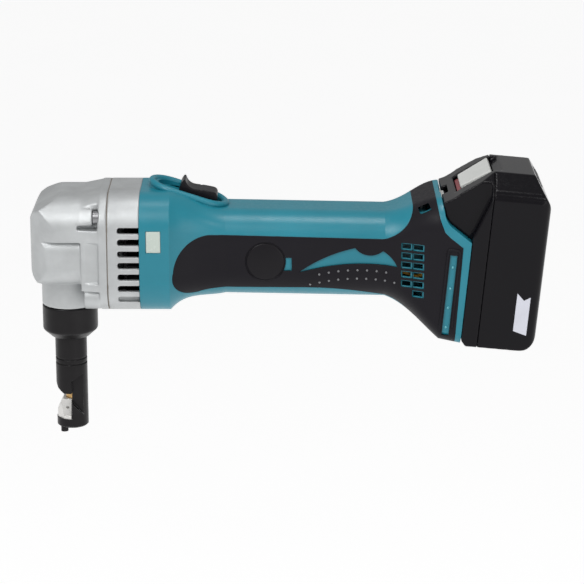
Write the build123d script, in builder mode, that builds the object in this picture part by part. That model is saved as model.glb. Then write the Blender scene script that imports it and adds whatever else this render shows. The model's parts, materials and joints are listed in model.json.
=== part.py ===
from build123d import *

import os
from math import atan2, cos, pi, radians, sin, sqrt, tan

# Cordless nibbler: an in-line motor body with a right-angle cutting nose and a slide-on battery.
# Millimetres. The origin is the cutting point, where the nose axis meets the top of the die.
# +Z runs up the nose axis, +X back along the body towards the battery, and Y across the tool.

os.makedirs("parts", exist_ok=True)

# ---------------------------------------------------------------- driving dimensions
HEAD_Z = 97.5  # height of the head's centre line above the cutting point
MOTOR_Z = 93.0  # height of the motor axis
GRIP_Z = 96.0  # height of the handle's centre line at its front end
GRIP_DROP = 1.8  # how much lower that line is at the rear end

HEAD_FRONT = -22.0
HEAD_REAR = 25.6  # joint face between the gear housing and the bearing box
BOX_FRONT = HEAD_REAR + 0.4  # the gasket fills the gap
BOX_REAR = 44.7  # joint face between the bearing box and the motor housing
TAPER_START = 62.4
GRIP_START = 95.0
GRIP_END = 190.0
FOOT_START = 222.0
BODY_END = 246.0

HEAD_HALF = 33.5  # half width of the gear housing
HEAD_R = 18.0
BOX_HALF = 36.0  # half width of the bearing box and of the motor housing's front
BOX_R = 20.0
GRIP_HALF = 26.0  # half width of the handle
GRIP_R = 16.5
WALL = 2.6
SKIN = 1.2  # thickness of the soft grip over the shells

MODULE = 0.7
PINION_TEETH = 6
GEAR_TEETH = 48
PRESSURE = radians(25)
SHIFT = 0.5
BACKLASH = 0.05  # taken off each flank
CRANK_Z = MOTOR_Z + MODULE * (PINION_TEETH + GEAR_TEETH) / 2
CRANK_THROW = 2.2  # half the punch's stroke
ROD_LENGTH = 24.0
STROKE = 2 * CRANK_THROW
WRIST_Z = CRANK_Z - CRANK_THROW - ROD_LENGTH
WRIST_R = 2.5

FIT = 0.05  # radial clearance of running fits
GAP = 0.3  # clearance between neighbours that move apart

NECK_R = 16.7
NECK_LOW = 60.5  # lower rim of the gear housing's neck
NOSE_R = 9.6  # outer radius of the die holder
PUNCH_R = 3.9
RAM_R = 7.0
THROAT = 4.4  # free height between the die and the holder's lower edge

HEAD_SCREWS = ((29.5, HEAD_Z + 23.5), (26.0, HEAD_Z - 27.0))  # y and z, on both sides
SCREW_SEAT = 21.0  # where the screw heads bear on the gear housing's flange

LEVER_SLOPE = 18.0  # incline of the switch lever's track, in degrees
LEVER_X = 52.0
LEVER_Z = 137.0  # height of the track's rim at LEVER_X

BRUSH_X = 119.0
BRUSH_COVER_R = 11.2

TILT = radians(5.3)  # the battery leans back by this angle
STEP_X = 240.6
STEP_Z = 107.3  # the foot's step, where the battery's hood begins
BATTERY_HALF = 37.5
HOOD_HALF = 30.0
BATTERY_LOW = -63.5  # ends of the battery along its own height
BATTERY_TOP = 41.0
BATTERY_OUT = 44.5  # outer face of the battery, from the foot's rear face
CASE_SPLIT = 10.0


# ---------------------------------------------------------------- helpers
def save(builder, name):
    """Label one finished piece and write it as its own STEP file."""
    part = builder.part
    part.label = name
    export_step(part, f"parts/{name}.step")


def across(x, z=0.0):
    """The plane across the body at x: its own X is +Y, its own Y is +Z, and it faces +X."""
    return Plane(origin=(x, 0, z), x_dir=(0, 1, 0), z_dir=(1, 0, 0))


def side(y=0.0):
    """The plane along the body at y: its own X is +X, its own Y is +Z, and it faces -Y."""
    return Plane(origin=(0, y, 0), x_dir=(1, 0, 0), z_dir=(0, -1, 0))


def pack_point(w, u, y=0.0):
    """A point in the battery's own frame: w out from the foot, u up along the rails."""
    return (STEP_X + w * cos(TILT) + u * sin(TILT), y, STEP_Z - w * sin(TILT) + u * cos(TILT))


def pack_side(y=0.0):
    """The battery's side plane: its own X is w, its own Y is u, and it faces -Y."""
    return Plane(origin=(STEP_X, y, STEP_Z), x_dir=(cos(TILT), 0, -sin(TILT)), z_dir=(0, -1, 0))


def pack_across(w):
    """The plane across the battery at w: its own X is +Y, its own Y is u, and it faces outwards."""
    return Plane(origin=pack_point(w, 0), x_dir=(0, 1, 0), z_dir=(cos(TILT), 0, -sin(TILT)))


def block(x, y, z, mode=Mode.ADD):
    """A block between the given limits."""
    with Locations(((x[0] + x[1]) / 2, (y[0] + y[1]) / 2, (z[0] + z[1]) / 2)):
        Box(x[1] - x[0], y[1] - y[0], z[1] - z[0], mode=mode)


def barrel(x, r, y=0.0, z=MOTOR_Z, mode=Mode.ADD):
    """A cylinder along X."""
    with BuildSketch(across(x[0])) as section:
        with Locations((y, z)):
            Circle(r)
    extrude(section.sketch, amount=x[1] - x[0], mode=mode)


def post(z, r, x=0.0, y=0.0, mode=Mode.ADD):
    """A cylinder along Z."""
    with BuildSketch(Plane.XY.offset(z[0])) as section:
        with Locations((x, y)):
            Circle(r)
    extrude(section.sketch, amount=z[1] - z[0], mode=mode)


def bar(y, r, x, z, mode=Mode.ADD):
    """A cylinder along Y."""
    with BuildSketch(side(y[0])) as section:
        with Locations((x, z)):
            Circle(r)
    extrude(section.sketch, amount=y[0] - y[1], mode=mode)


def screw_along(x_seat, length, y, z, shank_r, head_r, head_height, turn=1):
    """A hexagon-socket screw along X: the head stands before x_seat, or after it if turn is -1."""
    barrel(sorted((x_seat - turn * head_height, x_seat)), head_r, y, z)
    barrel(sorted((x_seat, x_seat + turn * length)), shank_r, y, z)
    with BuildSketch(across(x_seat - turn * head_height)) as socket:
        with Locations((y, z)):
            RegularPolygon(head_r * 0.5, 6)
    extrude(socket.sketch, amount=turn * head_height * 0.6, mode=Mode.SUBTRACT)


def ball_bearing(x0, width, r_in, r_out, z=MOTOR_Z, balls=8):
    """Outer race, inner race and balls, which just clear each other."""
    r_mid = (r_out + r_in) / 2
    r_ball = (r_out - r_in) / 4
    race = 0.45 * r_ball
    for low, high in ((r_mid + race, r_out), (r_in + FIT, r_mid - race)):
        with BuildSketch(across(x0, z)) as race_section:
            Circle(high)
            Circle(low, mode=Mode.SUBTRACT)
        extrude(race_section.sketch, amount=width)
    with BuildSketch(Plane(origin=(x0 + width / 2, 0, z), x_dir=(1, 0, 0), z_dir=(0, -1, 0))) as groove:
        with Locations((0, r_mid)):
            Circle(r_ball + FIT)
    revolve(groove.sketch, axis=Axis((x0 + width / 2, 0, z), (1, 0, 0)), mode=Mode.SUBTRACT)
    with Locations(across(x0 + width / 2, z)):
        with PolarLocations(r_mid, balls):
            Sphere(r_ball)


def tooth_outline(teeth, shift, turn=0.0):
    """The outline of an involute spur gear, with straight lines between points on each flank."""
    pitch_r = MODULE * teeth / 2
    base_r = pitch_r * cos(PRESSURE)
    tip_r = pitch_r + MODULE * (0.72 + shift)
    root_r = pitch_r - MODULE * (1.2 - shift)
    at_pitch = pi / (2 * teeth) + 2 * shift * tan(PRESSURE) / teeth - BACKLASH / pitch_r
    involute = tan(PRESSURE) - PRESSURE

    def half_angle(r):
        roll = sqrt(max(r * r / (base_r * base_r) - 1, 0))
        return at_pitch + involute - (roll - atan2(roll, 1))

    start_r = max(base_r, root_r)
    flank = [(r, half_angle(r)) for r in (start_r, (start_r + tip_r) / 2, tip_r)]
    if root_r < base_r:
        flank.insert(0, (root_r, half_angle(base_r)))
    points = []
    for i in range(teeth):
        middle = turn + 2 * pi * i / teeth
        points += [(r * cos(middle - a), r * sin(middle - a)) for r, a in flank]
        points += [(r * cos(middle + a), r * sin(middle + a)) for r, a in reversed(flank)]
    return points


# ---------------------------------------------------------------- outer forms
def head_form(inset=0.0):
    """The gear housing's round-shouldered form with its lower bulge, shrunk by inset all round."""
    with BuildPart(mode=Mode.PRIVATE) as form:
        with BuildSketch(across(HEAD_FRONT + inset, HEAD_Z)):
            RectangleRounded(2 * (HEAD_HALF - inset), 2 * (HEAD_HALF - inset), HEAD_R - inset)
            with Locations((0, -16 + inset / 2)):
                Rectangle(80, 50 - inset, mode=Mode.SUBTRACT)
            with Locations((0, -3)):
                RectangleRounded(2 * (31.8 - inset), 2 * (17 - inset), 13 - inset)
        extrude(amount=HEAD_REAR - HEAD_FRONT - inset)
        # seen from above, the front is a shallow curve with round cheeks
        with BuildSketch(Plane.XY.offset(HEAD_Z - 50)):
            with BuildLine():
                Polyline((-6, -33.5), (-6, -45), (40, -45), (40, 45), (-6, 45), (-6, 33.5))
                ThreePointArc((-6, 33.5), (-16.3, 27.2), (-21, 16))
                ThreePointArc((-21, 16), (-22, 0), (-21, -16))
                ThreePointArc((-21, -16), (-16.3, -27.2), (-6, -33.5))
            make_face()
            if inset:
                offset(amount=-inset, mode=Mode.REPLACE)
        extrude(amount=100, mode=Mode.INTERSECT)
        # seen from the side, the top slopes down to a front that is rounded above and below
        with BuildSketch(side(50)):
            with BuildLine():
                Polyline((-14.6, 79), (-13.6, 40), (40, 40), (40, 145), (-4, 145), (-4, 131), (-18, 123.6))
                ThreePointArc((-18, 123.6), (-21, 118), (-22, 105))
                ThreePointArc((-22, 105), (-21.9, 96), (-21.2, 88))
                ThreePointArc((-21.2, 88), (-19.2, 82.4), (-14.6, 79))
            make_face()
            if inset:
                offset(amount=-inset, mode=Mode.REPLACE)
        extrude(amount=100, mode=Mode.INTERSECT)
    return form.part


def box_section(x, half, r):
    """The rounded square of the head's rear, as a sketch at x."""
    with BuildSketch(across(x, HEAD_Z)) as section:
        RectangleRounded(2 * half, 2 * half, r)
    return section.sketch


def body_section(x, half, low, top, r_low, r_top, inset=0.0):
    """A section across the motor body with its own radii above and below."""
    with BuildSketch(across(x, (low + top) / 2), mode=Mode.PRIVATE) as section:
        Rectangle(2 * (half - inset), top - low - 2 * inset)
        fillet(section.vertices().group_by(Axis.Y)[-1], r_top - inset)
        fillet(section.vertices().group_by(Axis.Y)[0], r_low - inset)
    return section.sketch


GRIP_REAR_Z = GRIP_Z - GRIP_DROP
BODY_SECTIONS = (
    # x, half width, lowest, highest, lower radius, upper radius
    (BOX_REAR, BOX_HALF, HEAD_Z - BOX_HALF, HEAD_Z + BOX_HALF, BOX_R, BOX_R),
    (TAPER_START, BOX_HALF, HEAD_Z - BOX_HALF, HEAD_Z + BOX_HALF, BOX_R, BOX_R),
    (73.0, 29.6, 67.6, 130.0, 17.6, 18.5),
    (84.0, 27.0, 68.8, 125.2, 16.9, 17.2),
    (GRIP_START, GRIP_HALF, GRIP_Z - GRIP_HALF, GRIP_Z + GRIP_HALF, GRIP_R, GRIP_R),
    (GRIP_END, GRIP_HALF, GRIP_REAR_Z - GRIP_HALF, GRIP_REAR_Z + GRIP_HALF, GRIP_R, GRIP_R),
    (202.0, 28.8, 62.6, 123.6, 14.0, 16.0),
    (212.0, 33.2, 55.0, 128.4, 11.0, 16.0),
    (FOOT_START, 36.6, 46.4, 131.4, 9.0, 17.0),
    (BODY_END, 37.4, 42.4, 131.4, 5.0, 17.0),
)


def body_form(inset=0.0):
    """The motor body from the bearing box to behind the foot, shrunk by inset all round."""
    sections = [body_section(*row, inset) for row in BODY_SECTIONS]
    with BuildPart(mode=Mode.PRIVATE) as form:
        for start, end in ((0, 1), (1, 4), (4, 5), (5, 8), (8, 9)):
            add(loft(sections[start : end + 1], mode=Mode.PRIVATE))
    return form.part



# ---------------------------------------------------------------- gear housing and nose
CAST_WALL = 3.4
CRANK_BEARING = (9.5, 7.0, 6.0, 13.0)  # x, width, bore radius and outer radius
CRANK_TAIL_BEARING = (26.4, 4.6, 3.5, 8.0)
BEARING_BACK = CRANK_BEARING[0] + CRANK_BEARING[1]
MOTOR_BEARING = (26.8, 6.0, 4.0, 9.5)
SLEEVE_R = 9.5
SLEEVE_LOW = 50.0
SLEEVE_TOP = 75.0
SPIGOT_R = 13.6
SPIGOT_LOW = 48.5
COLLAR_R = 13.2
COLLAR_LOW = 43.6

with BuildPart() as head_block:
    add(head_form())
    loft(sections=[box_section(10, HEAD_HALF, HEAD_R), box_section(SCREW_SEAT, 35.6, 19.6)])
    # the corner below the boss is open, so that the neck and the screws stand free
    block((5, SCREW_SEAT), (-45, 45), (55, HEAD_Z - 21), mode=Mode.SUBTRACT)
    with BuildSketch(across(SCREW_SEAT, HEAD_Z)):
        RectangleRounded(2 * BOX_HALF, 2 * BOX_HALF, BOX_R)
    extrude(amount=HEAD_REAR - SCREW_SEAT)
    for hand in (-1, 1):
        y, z = HEAD_SCREWS[1]
        barrel((11.5, SCREW_SEAT), 7.2, hand * (y - 0.6), z + 0.8)

# the wall that carries the crank's front bearing
with BuildPart() as carrier:
    add(head_form(CAST_WALL - 0.4))
    block((9.5, BEARING_BACK), (-40, 40), (60, 140), mode=Mode.INTERSECT)

# screw bosses, kept inside the outer form
with BuildPart() as boss_rods:
    for y, z in HEAD_SCREWS:
        for hand in (-1, 1):
            barrel((7, HEAD_REAR), 8, hand * y, z)

with BuildPart() as bosses:
    add(head_block.part)
    add(boss_rods.part, mode=Mode.INTERSECT)


def arched_pocket(hand):
    """The arched pocket around an upper boss, on one side of the head."""
    upper_y, upper_z = HEAD_SCREWS[0]
    with BuildPart(mode=Mode.PRIVATE) as pocket:
        with BuildSketch(side()):
            with BuildLine():
                Polyline((8, HEAD_Z + 19), (8, HEAD_Z + 16.5), (20.2, HEAD_Z + 16.5), (20.2, HEAD_Z + 33))
                Line((20.2, HEAD_Z + 33), (17, HEAD_Z + 33))
                ThreePointArc((17, HEAD_Z + 33), (10.2, HEAD_Z + 28), (8, HEAD_Z + 19))
            make_face()
        extrude(amount=-hand * 45)
        block((0, 30), (-27.5, 27.5), (90, 140), mode=Mode.SUBTRACT)
        barrel((0, SCREW_SEAT - 3.8), 5.4, hand * (upper_y - 0.5), upper_z, mode=Mode.SUBTRACT)
    return pocket.part


with BuildPart() as gear_housing:
    add(head_block.part)
    add(head_form(CAST_WALL), mode=Mode.SUBTRACT)
    with BuildSketch(across(BEARING_BACK, HEAD_Z)):
        RectangleRounded(2 * (HEAD_HALF - CAST_WALL), 50, 14)
    extrude(amount=HEAD_REAR - BEARING_BACK, mode=Mode.SUBTRACT)
    barrel((BEARING_BACK, HEAD_REAR), 17.8, z=CRANK_Z, mode=Mode.SUBTRACT)
    add(carrier.part)
    add(bosses.part)
    post((NECK_LOW, HEAD_Z - 15), NECK_R)
    post((SPIGOT_LOW, NECK_LOW), SPIGOT_R)
    post((SPIGOT_LOW, SLEEVE_TOP), SLEEVE_R, mode=Mode.SUBTRACT)
    post((SLEEVE_TOP, HEAD_Z - 10), 11.6, mode=Mode.SUBTRACT)
    barrel((8, 18), CRANK_BEARING[3], z=CRANK_Z, mode=Mode.SUBTRACT)
    for hand in (-1, 1):
        for y, z in HEAD_SCREWS:
            barrel((SCREW_SEAT - 1, HEAD_REAR), 2.6, hand * y, z, mode=Mode.SUBTRACT)
            barrel((SCREW_SEAT - 3.8, SCREW_SEAT), 4.6, hand * y, z, mode=Mode.SUBTRACT)
        add(arched_pocket(hand), mode=Mode.SUBTRACT)
        # shallow panel below it
        panel_y = (33.4, 40) if hand > 0 else (-40, -33.4)
        block((11.6, 20.4), panel_y, (HEAD_Z - 16, HEAD_Z + 9), mode=Mode.SUBTRACT)
save(gear_housing, "gear_housing")

with BuildPart() as housing_gasket:
    with BuildSketch(across(HEAD_REAR, HEAD_Z)):
        RectangleRounded(2 * BOX_HALF - 0.4, 2 * BOX_HALF - 0.4, BOX_R - 0.2)
        RectangleRounded(2 * (HEAD_HALF - CAST_WALL), 50, 14, mode=Mode.SUBTRACT)
        for y, z in HEAD_SCREWS:
            with Locations((y, z - HEAD_Z), (-y, z - HEAD_Z)):
                Circle(2.6, mode=Mode.SUBTRACT)
    extrude(amount=BOX_FRONT - HEAD_REAR)
save(housing_gasket, "housing_gasket")

VENT_COUNT = 7
VENT_TOP = HEAD_Z + 16.8
VENT_PITCH = 7.08
VENT_HEIGHT = 3.6
BOX_WALL = 3.0

with BuildPart() as bearing_box:
    with BuildSketch(across(BOX_FRONT, HEAD_Z)):
        RectangleRounded(2 * BOX_HALF, 2 * BOX_HALF, BOX_R)
    extrude(amount=BOX_REAR - BOX_FRONT)
    with BuildSketch(across(31, HEAD_Z)):
        RectangleRounded(2 * (BOX_HALF - BOX_WALL), 2 * (BOX_HALF - BOX_WALL), BOX_R - BOX_WALL)
        for y, z in HEAD_SCREWS:
            with Locations((y, z - HEAD_Z), (-y, z - HEAD_Z)):
                Circle(5, mode=Mode.SUBTRACT)
    extrude(amount=20, mode=Mode.SUBTRACT)
    barrel((31, 33.4), 12.4)
    barrel((BOX_FRONT, 34), 6.5, mode=Mode.SUBTRACT)
    barrel((MOTOR_BEARING[0], 34), MOTOR_BEARING[3], mode=Mode.SUBTRACT)
    barrel((BOX_FRONT, 31), CRANK_TAIL_BEARING[3], z=CRANK_Z, mode=Mode.SUBTRACT)
    barrel((31, 32.6), CRANK_TAIL_BEARING[3] + 1.6, z=CRANK_Z)
    barrel((31, 31.2), CRANK_TAIL_BEARING[3] - 2, z=CRANK_Z, mode=Mode.SUBTRACT)
    barrel((26, 33.4), 9.5, mode=Mode.SUBTRACT)
    for hand in (-1, 1):
        for y, z in HEAD_SCREWS:
            barrel((BOX_FRONT, BOX_REAR), 2.6, hand * y, z, mode=Mode.SUBTRACT)
        for i in range(VENT_COUNT):
            z = VENT_TOP - i * VENT_PITCH
            with BuildSketch(side(hand * 29.3)):
                with Locations((31.9 + 8, z)):
                    RectangleRounded(16, VENT_HEIGHT, 1.2)
            extrude(amount=-hand * 10, mode=Mode.SUBTRACT)
save(bearing_box, "bearing_box")

with BuildPart() as gear_housing_screws:
    for y, z in HEAD_SCREWS:
        for hand in (-1, 1):
            screw_along(SCREW_SEAT, 39, hand * y, z, 2.5, 4.1, 3.4)
save(gear_housing_screws, "gear_housing_screws")

NUT_LOW = 39.8
with BuildPart() as lock_nut:
    with BuildSketch(side()):
        with BuildLine():
            Polyline((SPIGOT_R + 0.4, 60.1), (NECK_R - 0.3, 60.1), (NECK_R, 59.6), (NECK_R, 45.4))
            ThreePointArc((NECK_R, 45.4), (16.5, 44.6), (16.0, 44.0))
            Polyline((16.0, 44.0), (11.4, NUT_LOW), (NOSE_R + GAP, NUT_LOW), (NOSE_R + GAP, 43.2))
            Polyline((NOSE_R + GAP, 43.2), (SPIGOT_R + 0.4, 43.2), (SPIGOT_R + 0.4, 60.1))
        make_face()
    revolve(axis=Axis.Z)
save(lock_nut, "lock_nut")

# the holder: a tube whose lower front is cut away, so that the sheet can enter the throat
BASE_TOP = -12.0
BASE_LOW = -17.7
FLAT_HALF = 6.2
with BuildPart() as die_holder:
    post((BASE_LOW, COLLAR_LOW + 0.1), NOSE_R)
    post((COLLAR_LOW, SPIGOT_LOW - 0.2), COLLAR_R)
    post((22, SPIGOT_LOW + 1), RAM_R + 0.5, mode=Mode.SUBTRACT)
    post((BASE_LOW - 1, 23), PUNCH_R + FIT, mode=Mode.SUBTRACT)
    # everything in front of the spine goes, from the base up to the throat's upper edge
    with BuildSketch(side(12)):
        with BuildLine():
            Polyline((0.3, BASE_TOP), (-12, BASE_TOP), (-12, 9.8), (-9.4, 9.8), (-8.2, 7.2), (-4.6, THROAT))
            Polyline((-4.6, THROAT), (0.3, THROAT), (0.3, BASE_TOP))
        make_face()
    extrude(amount=24, mode=Mode.SUBTRACT)
    # flats on both sides of the spine, between two slanting shoulders
    for hand in (-1, 1):
        with BuildSketch(side(hand * FLAT_HALF)):
            with BuildLine():
                Polyline((0.3, 12.5), (10, 18.4), (10, -12.8), (0.3, -1.6), (0.3, 12.5))
            make_face()
        extrude(amount=-hand * 6, mode=Mode.SUBTRACT)
    # two turned grooves
    for z in (22.4, 25.6):
        with BuildSketch(Plane.XY.offset(z)):
            Circle(NOSE_R + 1)
            Circle(NOSE_R - 0.6, mode=Mode.SUBTRACT)
        extrude(amount=1.2, mode=Mode.SUBTRACT)
    # four notches that index the holder at quarter turns
    for x, y in ((COLLAR_R, 0), (-COLLAR_R, 0), (0, COLLAR_R), (0, -COLLAR_R)):
        post((COLLAR_LOW, SPIGOT_LOW), 1.3, x, y, mode=Mode.SUBTRACT)
    for hand in (-1, 1):
        post((BASE_LOW - 1, BASE_TOP), 1.25, -4.8, hand * 4.8, mode=Mode.SUBTRACT)
    foot_rims = die_holder.edges().filter_by(GeomType.CIRCLE).group_by(Axis.Z)[0].sort_by(SortBy.LENGTH)
    chamfer(foot_rims[-1:], 0.8)
save(die_holder, "die_holder")

with BuildPart() as die:
    post((BASE_TOP, 0), 9.2)
    post((BASE_TOP - 1, 1), PUNCH_R + 0.06, mode=Mode.SUBTRACT)
    block((-0.2, 12), (-12, 12), (BASE_TOP - 1, 1), mode=Mode.SUBTRACT)
    # the front and both cheeks slope away from the cutting edge
    with BuildSketch(side(12)):
        with BuildLine():
            Polyline((-5.4, 0.1), (-9.4, -8.2), (-12, -8.2), (-12, 0.1), (-5.4, 0.1))
        make_face()
    extrude(amount=24, mode=Mode.SUBTRACT)
    for hand in (-1, 1):
        with BuildSketch(Plane(origin=(0, 0, 0), x_dir=(0, 1, 0), z_dir=(1, 0, 0))):
            with BuildLine():
                Polyline((hand * 5.3, 0.1), (hand * 7.6, -10), (hand * 12, -10))
                Polyline((hand * 12, -10), (hand * 12, 0.1), (hand * 5.3, 0.1))
            make_face()
        extrude(amount=-12, mode=Mode.SUBTRACT)
        with BuildSketch(Plane.XY.offset(BASE_TOP)):
            with BuildLine():
                Polyline((-9.3, hand * 2.6), (-9.3, hand * 9.3), (-3.6, hand * 9.3), (-9.3, hand * 2.6))
            make_face()
        extrude(amount=14, taper=0, mode=Mode.SUBTRACT)
        bar(sorted((hand * 4.6, hand * 8)), 0.9, -2.5, -5.2, mode=Mode.SUBTRACT)
        post((BASE_TOP - 1, -6), 1.2, -4.8, hand * 4.8, mode=Mode.SUBTRACT)
save(die, "die")

with BuildPart() as die_bolts:
    for hand in (-1, 1):
        post((BASE_LOW - 3, BASE_LOW), 2.25, -4.8, hand * 4.8)
        post((BASE_LOW, -6.4), 1.2, -4.8, hand * 4.8)
        with BuildSketch(Plane.XY.offset(BASE_LOW - 3)):
            with Locations((-4.8, hand * 4.8)):
                RegularPolygon(1.1, 6)
        extrude(amount=1.6, mode=Mode.SUBTRACT)
save(die_bolts, "die_bolts")

PUNCH_TIP = -1.5
PUNCH_TOP = 56.0
RAM_LOW = 44.6
BOLT_Z = 47.6
with BuildPart() as punch:
    post((PUNCH_TIP, PUNCH_TOP), PUNCH_R)
    # a hollow-ground cutting end and the flat that the bolt bears on
    with Locations((0, 0, PUNCH_TIP - 6.2)):
        Sphere(7, mode=Mode.SUBTRACT)
    block((PUNCH_R - 0.8, 5), (-5, 5), (BOLT_Z - 2.6, BOLT_Z + 2.6), mode=Mode.SUBTRACT)
save(punch, "punch")

RAM_TOP = WRIST_Z + 5.0
CHEEK_IN = 3.0
# the rod's lower eye is long enough for the pin to wander through the whole stroke in it
ROD_SLOT_Y = WRIST_R + CRANK_THROW + GAP
ROD_SLOT_Z = WRIST_R + STROKE + GAP
ROD_LOOP_Y = ROD_SLOT_Y + 2
ROD_LOOP_Z = ROD_SLOT_Z + 2
FORK_FLOOR = WRIST_Z - ROD_LOOP_Z - STROKE - GAP
with BuildPart() as ram:
    post((RAM_LOW, WRIST_Z - 6), RAM_R)
    block((-RAM_R, RAM_R), (-6.2, 6.2), (WRIST_Z - 10, RAM_TOP))
    post((RAM_LOW, PUNCH_TOP), PUNCH_R, mode=Mode.SUBTRACT)
    block((-CHEEK_IN, CHEEK_IN), (-10, 10), (FORK_FLOOR, RAM_TOP + 1), mode=Mode.SUBTRACT)
    barrel((-8, 8), WRIST_R, z=WRIST_Z, mode=Mode.SUBTRACT)
    barrel((PUNCH_R - 1, 8), 1.5, z=BOLT_Z, mode=Mode.SUBTRACT)
save(ram, "ram")

with BuildPart() as ram_sleeve:
    post((SLEEVE_LOW, SLEEVE_TOP), SLEEVE_R)
    post((SLEEVE_LOW - 1, SLEEVE_TOP + 1), RAM_R + FIT, mode=Mode.SUBTRACT)
save(ram_sleeve, "ram_sleeve")

with BuildPart() as punch_bolt:
    barrel((PUNCH_R - 0.8, RAM_R - 0.2), 1.5, z=BOLT_Z)
    with BuildSketch(across(RAM_R - 0.2, BOLT_Z)):
        RegularPolygon(0.8, 6)
    extrude(amount=-1.2, mode=Mode.SUBTRACT)
save(punch_bolt, "punch_bolt")

with BuildPart() as wrist_pin:
    barrel((-RAM_R + 0.4, RAM_R - 0.4), WRIST_R, z=WRIST_Z)
    chamfer(wrist_pin.edges().filter_by(GeomType.CIRCLE), 0.4)
save(wrist_pin, "wrist_pin")

# ---------------------------------------------------------------- crank train
PIN_Z = CRANK_Z - CRANK_THROW
PIN_R = 4.0
NEEDLE_R = 5.6
BIG_END_R = 8.6

with BuildPart() as connecting_rod:
    with BuildSketch(across(-2.6, PIN_Z)):
        Circle(BIG_END_R)
        with Locations((0, -ROD_LENGTH)):
            RectangleRounded(2 * ROD_LOOP_Y, 2 * ROD_LOOP_Z, ROD_LOOP_Y - 0.2)
        with Locations((0, -ROD_LENGTH / 2)):
            Rectangle(8, 12)
        with Locations((0, -ROD_LENGTH)):
            RectangleRounded(2 * ROD_SLOT_Y, 2 * ROD_SLOT_Z, ROD_SLOT_Y - 0.2, mode=Mode.SUBTRACT)
    extrude(amount=5.2)
    barrel((-4, 4), BIG_END_R, z=PIN_Z)
    barrel((-5, 5), NEEDLE_R, z=PIN_Z, mode=Mode.SUBTRACT)
save(connecting_rod, "connecting_rod")

with BuildPart() as rod_needle_bearing:
    barrel((-4, 4), NEEDLE_R, z=PIN_Z)
    barrel((-5, 5), PIN_R + FIT, z=PIN_Z, mode=Mode.SUBTRACT)
save(rod_needle_bearing, "rod_needle_bearing")

with BuildPart() as crankshaft:
    barrel((-4.6, 5), PIN_R, z=PIN_Z)
    barrel((-5.8, -4.4), PIN_R + 1.2, z=PIN_Z)
    barrel((4.4, 9), 9.4, z=CRANK_Z)
    # the counterweight is opposite the pin
    with BuildSketch(across(4.4, CRANK_Z)):
        Circle(12.4)
        with Locations((0, -8)):
            Rectangle(30, 18, mode=Mode.SUBTRACT)
    extrude(amount=4.6)
    barrel((9, 24.6), CRANK_BEARING[2], z=CRANK_Z)
    barrel((24.6, 31), CRANK_TAIL_BEARING[2], z=CRANK_Z)
save(crankshaft, "crankshaft")

GEAR_X = (17.2, 24.2)
with BuildPart() as crank_gear:
    with BuildSketch(across(GEAR_X[0], CRANK_Z)):
        Polygon(*tooth_outline(GEAR_TEETH, -SHIFT, -pi / 2), align=None)
        Circle(CRANK_BEARING[2], mode=Mode.SUBTRACT)
        with PolarLocations(10.6, 6):
            Circle(2.2, mode=Mode.SUBTRACT)
    extrude(amount=GEAR_X[1] - GEAR_X[0])
save(crank_gear, "crank_gear")

with BuildPart() as crank_front_bearing:
    ball_bearing(*CRANK_BEARING, z=CRANK_Z, balls=9)
save(crank_front_bearing, "crank_front_bearing")

with BuildPart() as crank_rear_bearing:
    ball_bearing(*CRANK_TAIL_BEARING, z=CRANK_Z, balls=7)
save(crank_rear_bearing, "crank_rear_bearing")

# ---------------------------------------------------------------- motor
SHAFT_R = 4.0
CORE_R = 14.6
YOKE_R = 20.2
YOKE_BORE = 18.2
YOKE_X = (56.0, 102.0)
CORE_X = (62.0, 96.0)
COMMUTATOR_X = (110.0, 126.5)
COMMUTATOR_R = 9.5
REAR_BEARING = (129.0, 5.0, 2.5, 8.0)
SLOTS = 12
FAN_X = (35.0, 43.0)

with BuildPart() as motor_shaft:
    with BuildSketch(across(16.9, MOTOR_Z)):
        Polygon(*tooth_outline(PINION_TEETH, SHIFT, pi / 2 + pi / PINION_TEETH), align=None)
    extrude(amount=8.2)
    barrel((25.0, 26.6), 3.4)
    barrel((26.6, 128.0), SHAFT_R)
    barrel((128.0, 135.0), REAR_BEARING[2])
save(motor_shaft, "motor_shaft")

with BuildPart() as armature_core:
    with BuildSketch(across(CORE_X[0], MOTOR_Z)):
        Circle(CORE_R)
        Circle(SHAFT_R, mode=Mode.SUBTRACT)
        with PolarLocations(CORE_R - 3.2, SLOTS, start_angle=15):
            Circle(1.9, mode=Mode.SUBTRACT)
        with PolarLocations(CORE_R, SLOTS, start_angle=15):
            Rectangle(4, 1.0, mode=Mode.SUBTRACT)
    extrude(amount=CORE_X[1] - CORE_X[0])
save(armature_core, "armature_core")

with BuildPart() as armature_windings:
    for x in ((CORE_X[0] - 7, CORE_X[0]), (CORE_X[1], CORE_X[1] + 8)):
        with BuildSketch(across(x[0], MOTOR_Z)):
            Circle(CORE_R - 1)
            Circle(SHAFT_R, mode=Mode.SUBTRACT)
        extrude(amount=x[1] - x[0])
    with BuildSketch(across(CORE_X[0], MOTOR_Z)):
        with PolarLocations(CORE_R - 3.2, SLOTS, start_angle=15):
            Circle(1.7)
    extrude(amount=CORE_X[1] - CORE_X[0])
save(armature_windings, "armature_windings")

with BuildPart() as commutator:
    with BuildSketch(across(COMMUTATOR_X[0], MOTOR_Z)):
        Circle(COMMUTATOR_R)
        Circle(SHAFT_R, mode=Mode.SUBTRACT)
        with PolarLocations(COMMUTATOR_R, 2 * SLOTS):
            Rectangle(1.4, 0.5, mode=Mode.SUBTRACT)
    extrude(amount=COMMUTATOR_X[1] - COMMUTATOR_X[0])
save(commutator, "commutator")

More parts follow.
